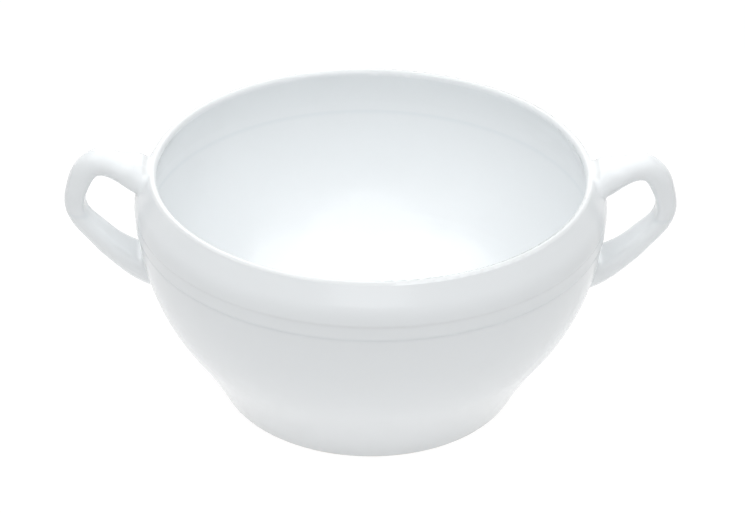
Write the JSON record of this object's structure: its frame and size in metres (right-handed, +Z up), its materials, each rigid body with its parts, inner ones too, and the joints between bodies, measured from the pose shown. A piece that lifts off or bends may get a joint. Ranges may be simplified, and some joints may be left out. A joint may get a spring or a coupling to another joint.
{
  "type": "bouillon cup",
  "caption": "Low, wide soup cup in white glazed ware, with a flared band under the rim, a rounded bowl on a small foot ring and an ear-shaped handle on either side.",
  "frame": {"origin": "middle of the foot ring, on the surface that the cup stands on", "axes": "+Z up out of the cup's mouth; +X towards one handle and -X towards the other; +Y away from the viewer of the picture"},
  "size_m": [0.1438, 0.1106, 0.0612],
  "materials": {
    "glaze": "smooth glossy white glaze, very slightly cool"
  },
  "bodies": {
    "root": {"cup": "glaze"}
  },
  "joints": []
}
